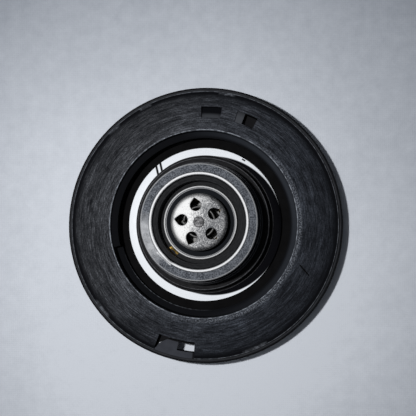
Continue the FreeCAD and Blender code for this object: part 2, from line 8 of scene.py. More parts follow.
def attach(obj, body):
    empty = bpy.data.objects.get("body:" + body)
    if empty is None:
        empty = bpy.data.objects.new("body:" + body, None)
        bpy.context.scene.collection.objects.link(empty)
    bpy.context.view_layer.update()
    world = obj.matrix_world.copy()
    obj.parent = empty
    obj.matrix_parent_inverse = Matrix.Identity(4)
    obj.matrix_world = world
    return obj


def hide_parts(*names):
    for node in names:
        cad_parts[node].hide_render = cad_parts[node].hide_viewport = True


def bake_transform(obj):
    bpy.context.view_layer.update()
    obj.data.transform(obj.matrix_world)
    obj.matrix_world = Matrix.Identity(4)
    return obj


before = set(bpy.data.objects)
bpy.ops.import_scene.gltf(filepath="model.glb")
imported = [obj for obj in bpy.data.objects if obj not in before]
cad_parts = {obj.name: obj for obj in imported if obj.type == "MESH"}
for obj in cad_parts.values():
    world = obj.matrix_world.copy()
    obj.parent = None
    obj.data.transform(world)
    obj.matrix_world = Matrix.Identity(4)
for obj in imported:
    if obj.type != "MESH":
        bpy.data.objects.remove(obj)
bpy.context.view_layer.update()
print("frame loaded")

mm = 0.001


# ---- small helpers for meshes

def meshPiece(name, points, faces, smooth=True):
    mesh = bpy.data.meshes.new(name)
    mesh.from_pydata(points.reshape(-1, 3).tolist(), [], [list(f) for f in faces])
    mesh.update()
    if smooth:
        mesh.shade_smooth()
    piece = bpy.data.objects.new(name, mesh)
    bpy.context.scene.collection.objects.link(piece)
    return piece


def gridFaces(rows, columns, closedRows=False):
    # quads between neighbouring points of a grid whose rows close on themselves
    i = np.arange(rows if closedRows else rows - 1)
    i, j = np.meshgrid(i, np.arange(columns), indexing="ij")
    a = i * columns + j
    b = i * columns + (j + 1) % columns
    c = (i + 1) % rows * columns + (j + 1) % columns
    d = (i + 1) % rows * columns + j
    return np.stack([a, b, c, d], -1).reshape(-1, 4)


# ---- small helpers for materials: lengths are in millimetres and angles in degrees

class Finish:
    # a material with one Principled shader, and short ways to add the nodes that feed it
    def __init__(self, name, colour, roughness, metallic=0.0, specular=0.5):
        self.material = bpy.data.materials.new(name)
        self.material.use_nodes = True
        self.tree = self.material.node_tree
        self.shader = next(n for n in self.tree.nodes if n.type == "BSDF_PRINCIPLED")
        self.shader.inputs["Base Color"].default_value = (*colour, 1)
        self.shader.inputs["Roughness"].default_value = roughness
        self.shader.inputs["Metallic"].default_value = metallic
        self.shader.inputs["Specular IOR Level"].default_value = specular
        self.coords = self.node("ShaderNodeTexCoord").outputs["Object"]

    def node(self, kind, **settings):
        made = self.tree.nodes.new(kind)
        for key, value in settings.items():
            setattr(made, key, value)
        return made

    def feed(self, socket, source):
        if isinstance(source, bpy.types.NodeSocket):
            self.tree.links.new(source, socket)
        else:
            socket.default_value = source

    def math(self, operation, *values):
        made = self.node("ShaderNodeMath", operation=operation)
        for socket, value in zip(made.inputs, values):
            self.feed(socket, value)
        return made.outputs[0]

    def chain(self, operation, values):
        # one operation carried through any number of values
        made = values[0]
        for value in values[1:]:
            made = self.math(operation, made, value)
        return made

    def allOf(self, *shares):
        return self.chain("MULTIPLY", shares)

    def most(self, *shares):
        return self.chain("MAXIMUM", shares)

    def total(self, *values):
        return self.chain("ADD", values)

    def scaled(self, value, factor):
        return self.math("MULTIPLY", value, factor)

    def less(self, value, taken):
        return self.math("SUBTRACT", value, taken)

    def vector(self, operation, *values):
        made = self.node("ShaderNodeVectorMath", operation=operation)
        for socket, value in zip(made.inputs, values):
            self.feed(socket, value)
        return made.outputs["Value" if operation in ("LENGTH", "DOT_PRODUCT") else "Vector"]

    def noise(self, where, scale, detail, roughness):
        made = self.node("ShaderNodeTexNoise")
        self.feed(made.inputs["Vector"], where)
        made.inputs["Scale"].default_value = scale
        made.inputs["Detail"].default_value = detail
        made.inputs["Roughness"].default_value = roughness
        return made.outputs["Fac"]

    def span(self, value, low, high, toLow=0.0, toHigh=1.0):
        # the value, stretched from one span to another and held inside it
        made = self.node("ShaderNodeMapRange", clamp=True)
        for key, given in (("Value", value), ("From Min", low), ("From Max", high),
                           ("To Min", toLow), ("To Max", toHigh)):
            self.feed(made.inputs[key], given)
        return made.outputs["Result"]

    def band(self, value, start, full, last, end):
        # 1 from full to last, falling to 0 at start and at end
        return self.allOf(self.span(value, start, full), self.span(value, end, last))

    def mix(self, share, first, second):
        made = self.node("ShaderNodeMix", data_type="RGBA")
        self.feed(made.inputs["Factor"], share)
        for socket, value in ((made.inputs[6], first), (made.inputs[7], second)):  # the two colours
            self.feed(socket, value if isinstance(value, bpy.types.NodeSocket) else (*value, 1))
        return made.outputs[2]

    def where(self):
        return self.vector("MULTIPLY", self.coords, (1000.0, 1000.0, 1000.0))

    def fromAbove(self):
        return self.vector("MULTIPLY", self.coords, (1000.0, 1000.0, 0.0))

    def radius(self):
        # distance from the cap's axis
        return self.vector("LENGTH", self.fromAbove())

    def axes(self):
        parts = self.node("ShaderNodeSeparateXYZ")
        self.feed(parts.inputs[0], self.where())
        return parts.outputs

    def height(self):
        return self.axes()["Z"]

    def turning(self, acrossScale, alongScale, shift=0.0):
        # coordinates that run fast across the rings and slowly along them, with no seam
        unit = self.vector("NORMALIZE", self.fromAbove())
        along = self.vector("SCALE", unit)
        along.node.inputs["Scale"].default_value = alongScale
        across = self.scaled(self.total(self.radius(), self.height()), acrossScale)
        stack = self.node("ShaderNodeCombineXYZ")
        self.feed(stack.inputs["Z"], self.total(across, shift))
        return self.vector("ADD", along, stack.outputs[0])

    def sector(self, middle, half):
        # 1 in the middle two fifths of a sector round the axis, 0 from its half angle on
        unit = self.vector("NORMALIZE", self.fromAbove())
        turn = math.radians(middle)
        facing = self.vector("DOT_PRODUCT", unit, (math.cos(turn), math.sin(turn), 0.0))
        return self.span(facing, math.cos(math.radians(half)), math.cos(math.radians(half * 0.4)))

    def ring(self, middle, width):
        # 1 on a circle of the middle radius, falling to 0 over the width either side
        off = self.math("ABSOLUTE", self.less(self.radius(), middle))
        return self.span(off, 0.0, width, 1.0, 0.0)

    def stroke(self, first, last, width):
        # 1 along a straight stroke between two points, seen from above
        (x0, y0), (x1, y1) = first, last
        long = math.hypot(x1 - x0, y1 - y0)
        way = ((x1 - x0) / long, (y1 - y0) / long, 0.0)
        off = self.vector("SUBTRACT", self.fromAbove(), (x0, y0, 0.0))
        run = self.vector("DOT_PRODUCT", off, way)
        side = self.math("ABSOLUTE", self.vector("DOT_PRODUCT", off, (-way[1], way[0], 0.0)))
        past = self.less(self.math("ABSOLUTE", self.less(run, long / 2)), long / 2)
        return self.span(self.most(side, past), width * 0.5, width, 1.0, 0.0)

    def weave(self, axis, period):
        # threads side by side along one axis, 1 on a thread and 0 between two
        turns = self.scaled(self.axes()[axis], 2 * math.pi / period)
        return self.total(self.scaled(self.math("SINE", turns), 0.5), 0.5)

    def bump(self, height, strength, distance):
        made = self.node("ShaderNodeBump")
        self.feed(made.inputs["Height"], height)
        made.inputs["Strength"].default_value = strength
        made.inputs["Distance"].default_value = distance
        self.feed(self.shader.inputs["Normal"], made.outputs["Normal"])

    def colour(self, source):
        self.feed(self.shader.inputs["Base Color"], source)

    def roughness(self, source):
        self.feed(self.shader.inputs["Roughness"], source)

    def metallic(self, source):
        self.feed(self.shader.inputs["Metallic"], source)

    def on(self, *things):
        for thing in things:
            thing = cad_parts[thing] if isinstance(thing, str) else thing
            thing.data.materials.clear()
            thing.data.materials.append(self.material)


# ---- finishes of the plastics and rubbers

ringLook = {
    "dark": (0.0035, 0.0040, 0.0055), "scuffed": (0.36, 0.412, 0.52), "scuffedLeft": (0.37, 0.392, 0.44),
    # the wall colour is painted light on the lit side of the wall under the mouth
    "windowFloorLight": (0.060, 0.065, 0.075), "wall": (0.026, 0.030, 0.038), "edge": (0.46, 0.50, 0.57),
    "scratch": (0.001, 0.001, 0.001), "rough": (0.74, 0.58), "specular": 0.05, "bump": 0.30,
    # the sloping face: its outer radius and its height there, how it climbs inwards, and how near to it counts
    "disc": 40.55, "edgeLevel": 8.4, "slope": 2.2 / 12.35, "near": (-0.14, -0.05),
    "scuffBand": (28.0, 28.5, 38.4, 39.7),  # radii between which the face is scuffed
    # how the scuffing changes outwards, how it grows towards the lamp's side on the left as a painted
    # highlight, and where its colour turns greyer
    "outward": (28.0, 39.0, 1.0, 0.5), "left": (-0.94, 0.34, 0.0), "towardLamp": (-40.0, 30.0, 0.42, 1.0),
    "leftTone": (-20.0, 25.0),
    # each noise: where it starts and ends to count, and how much scuffing it leaves there
    "breakUp": {"fine": (0.38, 0.66, 0.05, 1.0), "lines": (0.34, 0.66, 0.25, 1.0),
                "specks": (0.36, 0.64, 0.5, 1.15), "broad": (0.32, 0.68, 0.35, 1.0),
                "patches": (0.32, 0.62, 0.6, 1.0)},
    # worn edges: radius and width of each, the heights between which it starts, and its share
    "mouthEdge": (28.25, 0.20), "mouthLevel": (10.2, 10.45), "rimEdge": (40.45, 0.16), "rimLevel": (7.9, 8.2),
    "crestEdge": (26.12, 0.10), "crestLevel": (4.0, 5.0), "rubbedEdge": (29.0, 0.85), "chipEdge": (40.05, 0.6),
    "crestShare": 0.35, "rubbedShare": 0.5, "chipShare": 0.35, "edgeShare": 0.8,
    # sectors round the axis: middle and half angle
    "litWallSector": (4.0, 100.0), "crestSector": (238.0, 38.0), "rubbedSector": (330.0, 95.0),
    "chips": ((220.0, 5.0), (134.0, 3.5), (117.0, 3.0), (80.0, 4.0), (293.0, 6.0)),
    "wallRadii": (26.3, 27.0, 28.3, 28.6), "wallLevel": (7.0, 8.2), "wallDepth": (0.0, -0.3),
    "windowRadii": (31.0, 31.5, 36.5, 37.0),
    # painted light and shade on the window floors: paler towards the inner side, darker under the outer wall
    "floors": ((86.3, 8.0, 33.9, 32.9, 0.8), (71.3, 3.4, 37.0, 34.0, 1.0)),  # sector, radii, strength
    "smudges": (((-34.6, 4.6), (-33.4, 2.6), 0.7), ((-33.9, -0.2), (-33.6, -0.8), 0.8),
                ((-30.5, 17.5), (-29.0, 16.0), 0.9)),  # two points and a width
    "tick": ((28.95, -12.35), (31.49, -15.29), 0.26)}


def makeRingPlastic():
    # scuffed round and round on the sloping face only, dark in the recess, the windows and the notch
    look = ringLook
    finish = Finish("turnedBlackPlastic", look["dark"], look["rough"][0], 0.0, look["specular"])
    r, z = finish.radius(), finish.height()
    noises = {"fine": finish.noise(finish.turning(8.0, 13.0), 1.0, 4.0, 0.8),
              "lines": finish.noise(finish.turning(5.0, 4.0, 3.0), 1.0, 3.0, 0.75),
              "specks": finish.noise(finish.coords, 2400.0, 2.0, 0.7),
              "broad": finish.noise(finish.turning(1.1, 4.0, 7.0), 1.0, 3.0, 0.6),
              "patches": finish.noise(finish.coords, 130.0, 4.0, 0.6)}
    breaks = finish.span(finish.noise(finish.coords, 900.0, 3.0, 0.6), 0.44, 0.58, 0.25, 1.0)
    towardLamp = finish.vector("DOT_PRODUCT", finish.where(), look["left"])

    # how far the point stands above the sloping face
    face = finish.total(finish.scaled(finish.less(look["disc"], r), look["slope"]), look["edgeLevel"])
    above = finish.less(z, face)
    onFace = finish.span(above, *look["near"])

    # the scuffed face, paler to the left as a painted highlight, and greyer there
    scuff = finish.allOf(onFace, finish.band(r, *look["scuffBand"]),
                         *[finish.span(noises[name], *limits) for name, limits in look["breakUp"].items()],
                         finish.span(r, *look["outward"]), finish.span(towardLamp, *look["towardLamp"]))
    pale = finish.mix(finish.span(towardLamp, *look["leftTone"]), look["scuffed"], look["scuffedLeft"])
    tone = finish.mix(scuff, look["dark"], pale)

    # painted light: the wall under the mouth made paler on the side that the lamp lights
    wall = finish.allOf(finish.sector(*look["litWallSector"]), finish.band(r, *look["wallRadii"]),
                        finish.span(z, *look["wallLevel"]), finish.span(above, *look["wallDepth"]))
    tone = finish.mix(wall, tone, look["wall"])

    # pale worn edges: the mouth, the rim, the thread's crest, the rubbed side and the chips
    mouth = finish.allOf(finish.ring(*look["mouthEdge"]), finish.span(z, *look["mouthLevel"]), breaks)
    rim = finish.allOf(finish.ring(*look["rimEdge"]), finish.span(z, *look["rimLevel"]),
                       finish.span(breaks, 0.0, 1.0, 0.08, 0.42))
    crest = finish.allOf(finish.ring(*look["crestEdge"]), finish.sector(*look["crestSector"]),
                         finish.span(z, *look["crestLevel"]), breaks, look["crestShare"])
    rubbed = finish.allOf(finish.ring(*look["rubbedEdge"]), finish.sector(*look["rubbedSector"]),
                          onFace, finish.span(noises["specks"], 0.44, 0.60), look["rubbedShare"])
    chips = [finish.allOf(finish.ring(*look["chipEdge"]), finish.sector(*chip), onFace, breaks,
                          look["chipShare"]) for chip in look["chips"]]
    edges = finish.most(mouth, rim, crest, rubbed, *chips)
    tone = finish.mix(finish.scaled(edges, look["edgeShare"]), tone, look["edge"])

    # painted light and shade on the floors of the two windows: paler on the inner side, darker under the outer
    # wall
    for middle, half, low, high, strength in look["floors"]:
        floor = finish.allOf(finish.sector(middle, half), finish.span(r, low, high),
                             finish.band(r, *look["windowRadii"]), finish.span(onFace, 1.0, 0.0), strength)
        tone = finish.mix(floor, tone, look["windowFloorLight"])

    # dark smudges and one scratch on the face
    for first, last, width in look["smudges"]:
        smudge = finish.allOf(finish.stroke(first, last, width), onFace,
                              finish.span(noises["patches"], 0.3, 0.6, 0.7, 0.1))
        tone = finish.mix(smudge, tone, look["dark"])
    tick = finish.allOf(finish.stroke(*look["tick"]), onFace)
    finish.colour(finish.mix(tick, tone, look["scratch"]))
    finish.roughness(finish.span(scuff, 0.0, 1.0, *look["rough"]))
    finish.bump(finish.total(noises["fine"], finish.scaled(tick, -2.0)), look["bump"], 0.00008)
    return finish


coverLook = {
    "dark": (0.004, 0.0043, 0.0055), "lip": (0.048, 0.051, 0.058), "floor": (0.046, 0.050, 0.062),
    "bevelHighlight": (0.60, 0.62, 0.66), "lipRing": (41.05, 0.42), "lipLevel": (7.2, 7.5),
    "notch": (257.4, 22.0), "floorRadii": (36.3, 36.5, 40.6, 40.7), "floorLevel": (7.5, 7.58),
    # strokes on the notch floor, two points and a width: a dark one of painted shade along its wall, and two
    # painted highlights along the edges of its chamfers
    "wall": ((-2.45, -34.6), (-2.85, -40.2), 0.55),
    "bevelHighlights": (((-13.18, -35.84), (-11.16, -34.41), 0.16), ((-7.72, -35.11), (-5.3, -35.47), 0.16)),
    "ribsLevel": (5.4, 4.6), "ribsRadii": (41.2, 41.7), "rough": (0.62, 0.55), "specular": 0.07}


def makeCoverPlastic():
    # fine grain, the rim's lip and the ribs rubbed paler, the notch floor an even grey with painted shade
    # along its inner edge and its wall and painted highlights on its chamfers
    look = coverLook
    finish = Finish("mouldedBlackPlastic", look["dark"], look["rough"][0], 0.0, look["specular"])
    r, z = finish.radius(), finish.height()
    grain = finish.noise(finish.coords, 700.0, 4.0, 0.65)
    lines = finish.noise(finish.turning(6.0, 14.0, 3.0), 1.0, 3.0, 0.6)
    onFloor = finish.span(z, *look["floorLevel"])
    lip = finish.allOf(finish.ring(*look["lipRing"]), finish.span(z, *look["lipLevel"]),
                       finish.span(lines, 0.3, 0.65, 0.35, 1.0))
    # painted shade: the notch floor left dark along its inner edge and under the stroke by its wall
    floor = finish.allOf(finish.band(r, *look["floorRadii"]), onFloor,
                         finish.span(grain, 0.25, 0.75, 0.7, 1.0), finish.sector(*look["notch"]),
                         finish.span(finish.stroke(*look["wall"]), 0.0, 1.0, 1.0, 0.0))
    # painted highlights along the two chamfered edges
    bevelHighlights = finish.allOf(finish.most(*[finish.stroke(*bevelHighlight) for bevelHighlight in look["bevelHighlights"]]), onFloor)
    ribs = finish.allOf(finish.span(z, *look["ribsLevel"]), finish.span(r, *look["ribsRadii"]),
                        finish.span(grain, 0.35, 0.7, 0.0, 0.3))
    tone = look["dark"]
    for share, colour in ((lip, "lip"), (floor, "floor"), (bevelHighlights, "bevelHighlight"), (ribs, "lip")):
        tone = finish.mix(share, tone, look[colour])
    finish.colour(tone)
    finish.roughness(finish.span(lip, 0.0, 1.0, *look["rough"]))
    finish.bump(grain, 0.22, 0.00005)
    return finish


def plain(name, colour, roughness, metallic=0.0, grain=400.0, bumpStrength=0.15, spread=(0.75, 1.2),
          specular=0.5):
    # an even finish with a faint grain in its tone and surface
    finish = Finish(name, colour, roughness, metallic, specular)
    grainNoise = finish.noise(finish.coords, grain, 3.0, 0.6)
    darker = tuple(spread[0] * c for c in colour)
    lighter = tuple(min(1.0, spread[1] * c) for c in colour)
    finish.colour(finish.mix(finish.span(grainNoise, 0.3, 0.7), darker, lighter))
    finish.bump(grainNoise, bumpStrength, 0.00005)
    return finish


rubberLook = {"rubbed": (0.16, 0.165, 0.18), "streaks": (0.35, 0.7, 0.0, 0.08), "specular": 0.12}


def makeRubber(name, colour, edges, roughness):
    # smooth rubber, greyer along given circles, partly rubbed and partly painted highlight on its edges: each
    # edge has a radius, a width and a strength
    look = rubberLook
    finish = Finish(name, colour, roughness, 0.0, look["specular"])
    grain = finish.noise(finish.coords, 1100.0, 3.0, 0.6)
    lines = finish.noise(finish.turning(4.0, 10.0), 1.0, 2.0, 0.6)
    share = finish.span(lines, *look["streaks"])
    # greyer circles: rubbing, and painted highlights on the edges
    for middle, width, strength in edges:
        wearAndHighlight = finish.allOf(finish.ring(middle, width), finish.span(grain, 0.3, 0.6, 0.35, 1.0), strength)
        share = finish.most(share, wearAndHighlight)
    finish.colour(finish.mix(share, colour, look["rubbed"]))
    finish.bump(grain, 0.12, 0.00003)
    return finish


# ---- finishes of the metals

faceLook = {
    "dull": (0.024, 0.027, 0.033), "light": (0.118, 0.128, 0.146), "polishedHighlight": (0.50, 0.51, 0.525),
    # painted highlight: a sector on the lamp's side, its middle and half angle, and how much of it is
    # lightened
    "bright": (198.0, 30.0), "brightShare": 0.45,
    "innerEdge": 13.82, "innerWidth": (0.16, 0.52, 1.0, 0.0), "outerEdge": (16.60, 0.24), "outerShare": 0.8,
    "dent": ((-11.4, -8.7), (-8.0, -11.8), 0.5), "dentShare": 0.7, "topLevel": (20.3, 20.6),
    "rough": (0.62, 0.56), "metallic": (1.0, 0.45)}  # on the band and on the polished lines


def makeFaceSteel():
    # zinc speckle on the flat band, its two rolled edges and the dent given a polish and painted highlights,
    # and a painted highlight in one sector on the lamp's side
    look = faceLook
    finish = Finish("speckledFaceSteel", look["dull"], look["rough"][0], look["metallic"][0])
    speckle = finish.noise(finish.coords, 2600.0, 3.0, 0.75)
    cloud = finish.noise(finish.coords, 420.0, 3.0, 0.6)
    zinc = finish.total(finish.scaled(speckle, 0.82), finish.scaled(cloud, 0.18))
    tone = finish.mix(finish.span(zinc, 0.42, 0.60), look["dull"], look["light"])
    # painted highlight in the sector on the lamp's side
    paintedHighlight = finish.allOf(finish.sector(*look["bright"]), finish.span(cloud, 0.35, 0.6, 0.5, 1.0),
                        look["brightShare"])
    tone = finish.mix(paintedHighlight, tone, look["polishedHighlight"])
    # the rolled edges and the dent: a polish with painted highlights
    off = finish.math("ABSOLUTE", finish.less(finish.radius(), look["innerEdge"]))
    line = finish.most(finish.span(off, *look["innerWidth"]),
                       finish.scaled(finish.ring(*look["outerEdge"]), look["outerShare"]),
                       finish.scaled(finish.stroke(*look["dent"]), look["dentShare"]))
    line = finish.allOf(line, finish.span(finish.height(), *look["topLevel"]))
    finish.colour(finish.mix(line, tone, look["polishedHighlight"]))
    finish.metallic(finish.span(line, 0.0, 1.0, *look["metallic"]))
    finish.roughness(finish.span(line, 0.0, 1.0, *look["rough"]))
    finish.bump(speckle, 0.5, 0.00005)
    return finish


hatLook = {
    "dull": (0.10, 0.104, 0.112), "light": (0.58, 0.585, 0.59), "shadedWell": (0.008, 0.009, 0.011),
    "brim": (0.17, 0.175, 0.185), "crest": (0.34, 0.345, 0.35), "side": (-0.97, 0.26, 0.0),
    "lift": (0.0, 5.5, -0.08, 0.18),  # painted highlight: from where to where the speckle gets paler towards the lamp's side, and by how much
    "wellLevel": (19.6, 18.6), "wellRadii": (10.25, 10.05),
    "brimLevel": (17.4, 17.2), "brimRadii": (9.8, 10.0), "crestRing": (10.42, 0.26),
    "rough": (0.64, 0.60)}


def makeHatSteel():
    # coarse zinc speckle on the hat, paler towards the lamp's side as a painted highlight, a polish on the
    # brim with a painted highlight on its crest, and painted shade in the hollow between hat and brim
    look = hatLook
    finish = Finish("speckledHatSteel", look["dull"], look["rough"][0], 1.0)
    r, z = finish.radius(), finish.height()
    speckle = finish.noise(finish.coords, 2600.0, 3.0, 0.75)
    cloud = finish.noise(finish.coords, 600.0, 3.0, 0.6)
    # painted highlight: the speckle made paler towards the lamp's side
    side = finish.vector("DOT_PRODUCT", finish.where(), look["side"])
    lift = finish.span(finish.total(side, finish.scaled(cloud, 3.0)), *look["lift"])
    zinc = finish.total(finish.scaled(speckle, 0.85), finish.scaled(cloud, 0.15), lift)
    # painted shade in the hollow between hat and brim, and a painted highlight ring on the brim's crest
    shadedWell = finish.allOf(finish.span(z, *look["wellLevel"]), finish.span(r, *look["wellRadii"]))
    brim = finish.allOf(finish.span(z, *look["brimLevel"]), finish.span(r, *look["brimRadii"]))
    crest = finish.allOf(brim, finish.ring(*look["crestRing"]))
    tone = finish.mix(finish.span(zinc, 0.38, 0.64), look["dull"], look["light"])
    for share, colour in ((shadedWell, "shadedWell"), (brim, "brim"), (crest, "crest")):
        tone = finish.mix(share, tone, look[colour])
    finish.colour(tone)
    finish.roughness(finish.span(brim, 0.0, 1.0, *look["rough"]))
    finish.bump(finish.allOf(speckle, finish.span(brim, 0.0, 1.0, 1.0, 0.1)), 0.5, 0.00005)
    return finish


washerLook = {
    "steel": (0.84, 0.85, 0.87), "marked": (0.45, 0.46, 0.48), "darkMarksAndShade": (0.004, 0.004, 0.005),
    "rough": (0.055, 0.085),
    "paintedShade": ((2.45, -0.43, 0.0), 21.15, 21.45),  # painted shadow and dark reflection of the insert: it covers what is nearer than this to this point
    "nick": ((11.57, 19.91), (12.17, 19.51), 0.3),
    "strokes": (((-15.25, 17.93), (-14.55, 15.0), 0.46), ((-14.05, 19.05), (-13.36, 16.1), 0.46))}


def makeWasherSteel():
    # bright steel with fine round-and-round marks, two dark strokes, a nick, and a painted shadow and dark
    # reflection on the side away from the lamp
    look = washerLook
    finish = Finish("brightWasherSteel", look["steel"], look["rough"][0], 1.0)
    lines = finish.noise(finish.turning(6.0, 12.0), 1.0, 3.0, 0.6)
    tone = finish.mix(finish.span(lines, 0.3, 0.7, 0.0, 0.25), look["steel"], look["marked"])
    marks = [finish.stroke(*wearAndHighlight) for wearAndHighlight in (*look["strokes"], look["nick"])]
    # painted shadow and dark reflection: dark inside a circle set off towards the side away from the lamp
    middle, full, end = look["paintedShade"]
    far = finish.vector("LENGTH", finish.vector("SUBTRACT", finish.fromAbove(), middle))
    paintedShade = finish.span(far, end, full)
    finish.colour(finish.mix(finish.most(*marks, paintedShade), tone, look["darkMarksAndShade"]))
    finish.roughness(finish.span(lines, 0.3, 0.7, *look["rough"]))
    finish.bump(lines, 0.03, 0.00002)
    return finish


bodyPlastic = makeRubber("insertBlackPlastic", (0.004, 0.004, 0.005),
                         ((17.40, 0.2, 0.9), (15.6, 0.12, 0.3)), 0.70)
footRubber = makeRubber("footSealRubber", (0.005, 0.005, 0.006),
                        ((21.0, 0.16, 0.7), (19.75, 0.16, 0.8)), 0.72)
sealRubber = makeRubber("smoothBlackRubber", (0.010, 0.0105, 0.012),
                        ((17.9, 0.15, 0.3), (11.95, 0.1, 0.2)), 0.78)
gasketRubber = plain("dullBlackRubber", (0.004, 0.004, 0.0045), 0.8, specular=0.05)
faceSteel = makeFaceSteel()
hatSteel = makeHatSteel()
springSteel = plain("drawnSpringSteel", (0.11, 0.11, 0.11), 0.55, 1.0)
rivetSteel = plain("dullRivetSteel", (0.13, 0.13, 0.135), 0.6, 1.0, 1300.0, 0.9, (0.25, 2.6))
brass = plain("pressedBrass", (0.12, 0.10, 0.065), 0.6, 0.9)
brassFlake = plain("brassFlake", (0.80, 0.52, 0.14), 0.30, 0.85, 2500.0, 0.4, (0.5, 1.3))

makeRingPlastic().on("thread_ring")
makeCoverPlastic().on("cover_grip")
makeWasherSteel().on("thrust_washer")
bodyPlastic.on("valve_body")
footRubber.on("side_seal")
sealRubber.on("o_ring", "pressure_seal", "vacuum_seal")
gasketRubber.on("neck_gasket")
faceSteel.on("face_plate")
hatSteel.on("vacuum_cage")
springSteel.on("vacuum_disc", "vacuum_spring", "pressure_spring")
rivetSteel.on("stem_rivet")
brass.on("pressure_plate", "spring_seat")
print("finishes set")


# ---- small helpers for turned pieces

def softened(corners):
    # corners (radius, height, cut) of a closed profile: each is replaced by the parabola that leaves
    # its two edges a cut away, with one more point further out on each edge to keep the flats flat
    corners = np.array(corners, float)
    spots, cuts = corners[:, :2], corners[:, 2:]
    before = np.roll(spots, 1, 0) - spots
    after = np.roll(spots, -1, 0) - spots
    before = before / np.linalg.norm(before, axis=1, keepdims=True) * cuts
    after = after / np.linalg.norm(after, axis=1, keepdims=True) * cuts
    steps = 6
    t = np.linspace(0, 1, steps)[None, :, None]
    bend = (1 - t) ** 2 * (spots + before)[:, None] + 2 * t * (1 - t) * spots[:, None]
    bend = bend + t ** 2 * (spots + after)[:, None]
    further = 1.5  # how many cuts away the extra points lie
    whole = [(spots + before * further)[:, None], bend, (spots + after * further)[:, None]]
    return np.concatenate(whole, 1).reshape(-1, 2)


def turned(name, profile, around=180, push=None):
    # a closed profile (radius, height) in millimetres carried round the axis:
    # x = r cos a, y = r sin a, z = h, with push(r, h, a) added to r and h where it is given
    angle = np.linspace(0, 2 * np.pi, around, endpoint=False)[None, :]
    r = np.repeat(profile[:, :1], around, 1)
    h = np.repeat(profile[:, 1:], around, 1)
    if push:
        more, lift = push(r, h, angle)
        r, h = r + more, h + lift
    points = np.stack([r * np.cos(angle), r * np.sin(angle), h], -1) * mm
    return closeUp(meshPiece(name, points, gridFaces(len(profile), around, True)))


def closeUp(piece):
    # joins the points that lie on each other, at poles and seams
    work = bmesh.new()
    work.from_mesh(piece.data)
    bmesh.ops.remove_doubles(work, verts=work.verts, dist=0.002 * mm)
    work.to_mesh(piece.data)
    work.free()
    return piece


def near(angle, middle, width):
    # a soft hump, 1 at the middle angle in degrees and gone a few widths away, with no seam
    off = (angle - np.radians(middle) + np.pi) % (2 * np.pi) - np.pi
    return np.exp(-(off / np.radians(width)) ** 2)


def fitted(piece, body, slotName, finish, *nodes):
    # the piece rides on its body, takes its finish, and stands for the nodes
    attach(piece, body)
    finish.on(piece)
    if nodes:
        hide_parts(*nodes)
    return piece


# ---- the drawn face of the insert

face = {"outer": 16.85, "inner": 13.4, "top": 21.2, "flat": 21.1, "sheet": 0.6, "skirt": 17.5, "tube": 17.3,
        "bead": 0.5, "dentAngle": 234.0, "dentWidth": 5.5, "dentReach": 0.5, "dentOut": 0.22,
        "dentDown": 0.12, "wave": 0.03, "waves": 3}


def makeFace():
    # outer skirt, flat band, raised bead at the inner edge, tube, and the same sheet back again
    o, i, t = face["outer"], face["inner"], face["sheet"]
    profile = softened([
        (o, face["skirt"], 0.15), (o, face["flat"], 0.45), (i + 2 * face["bead"], face["flat"], 0.08),
        (i + 1.5 * face["bead"], face["top"], 0.07), (i, face["top"], 0.84 * face["bead"]),
        (i, face["tube"], 0.15), (i + t, face["tube"], 0.12), (i + t, face["flat"] - t, 0.15),
        (o - t, face["flat"] - t, 0.15), (o - t, face["skirt"], 0.12)])

    def dent(r, h, angle):
        # one dent in the inner edge, and a faint wave round the flat band
        edge = np.exp(-((r - i) / face["dentReach"]) ** 2) * (h > face["flat"] - t)
        edge = edge * near(angle, face["dentAngle"], face["dentWidth"])
        wave = face["wave"] * np.sin(face["waves"] * angle + 1.0) * (h > face["flat"] - 2 * t)
        return edge * face["dentOut"], -edge * face["dentDown"] - np.abs(wave)

    piece = turned("drawnFace", profile, 240, dent)
    return fitted(piece, "insert", "galvanised_steel", faceSteel, "face_plate")


# ---- the valve's own seal: a web under the brim, a collar inside the face, a clamped outer edge

seal = {"inner": 8.55, "outer": 14.8, "under": 15.25, "clamp": 17.25, "collar": (11.93, 13.28),
        "collarTop": 20.0, "step": (0.45, 0.55, 0.12), "web": 16.1}


def makeSeal():
    # out along the foot, up the clamped edge, over the collar with its small step, and in along the web
    s = seal
    inside, outside = s["collar"]
    stepIn, stepOut, stepDown = s["step"]
    profile = softened([
        (s["inner"], s["under"], 0.1), (s["outer"], s["under"], 0.15), (s["outer"], s["clamp"], 0.15),
        (outside, s["clamp"], 0.1), (outside, s["collarTop"], 0.22), (inside + stepOut, s["collarTop"], 0.05),
        (inside + stepIn, s["collarTop"] - stepDown, 0.05), (inside, s["collarTop"] - stepDown, 0.2),
        (inside, s["web"], 0.2), (s["inner"], s["web"], 0.1)])
    piece = turned("collaredSeal", profile)
    return fitted(piece, "pressure_valve", "seal_rubber", sealRubber, "pressure_seal")


# ---- the hat over the vacuum valve, with its shoulder, brim and five teardrop holes

hat = {"wall": 8.26, "shoulder": 1.2, "sheet": 0.6, "top": 20.5, "brim": 10.73, "foot": 16.1, "lip": 0.9,
       "holes": 5, "holeTurn": 29.4, "pitch": 4.85, "hole": 1.6, "tip": 7.15, "stemHole": 1.25, "joint": 7.4,
       "burr": (0.05, 0.12, 0.1), "sunk": (0.07, 0.06), "dome": 0.22}


def hatHeight(r, depth):
    # the sheet's upper face (depth 0) or lower face (depth of the sheet): a low dome, then a quarter
    # round down
    start = hat["wall"] - hat["shoulder"]
    radius = hat["shoulder"] - depth
    past = np.clip(r - start, 0, radius)
    dome = hat["dome"] * (r / hat["joint"]) ** 2
    return hat["top"] - hat["shoulder"] + np.sqrt(radius ** 2 - past ** 2) - dome


